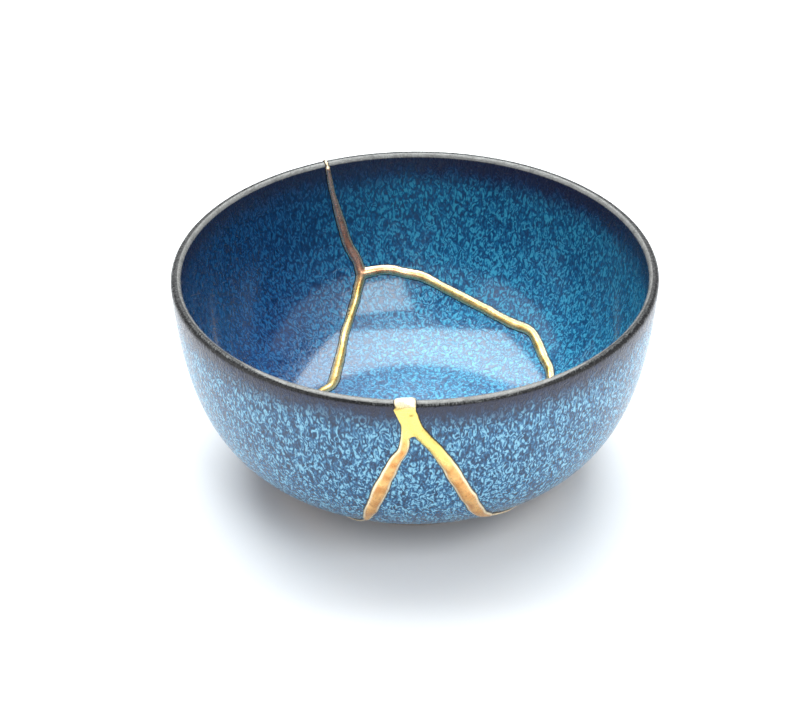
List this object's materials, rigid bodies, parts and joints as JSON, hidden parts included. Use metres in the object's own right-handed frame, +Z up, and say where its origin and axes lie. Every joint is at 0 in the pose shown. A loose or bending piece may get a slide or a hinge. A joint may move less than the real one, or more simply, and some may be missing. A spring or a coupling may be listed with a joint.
{
  "type": "kintsugi bowl",
  "caption": "Round glazed stoneware bowl on a foot ring, once broken into large shards and mended with raised gold lacquer seams and a filled chip in the rim.",
  "frame": {"origin": "the middle of the foot ring, on the surface that the bowl stands on", "axes": "+Z up out of the bowl; -Y towards the front, where the repair runs down from the chipped rim; +X to the right, seen from the front"},
  "size_m": [0.15, 0.1512, 0.0734],
  "materials": {
    "glaze": "gloss",
    "gold_lacquer": "satin"
  },
  "bodies": {
    "root": {"shard_base": "glaze", "shard_left": "glaze", "shard_right": "glaze", "gold_seam": "gold_lacquer"}
  },
  "joints": []
}
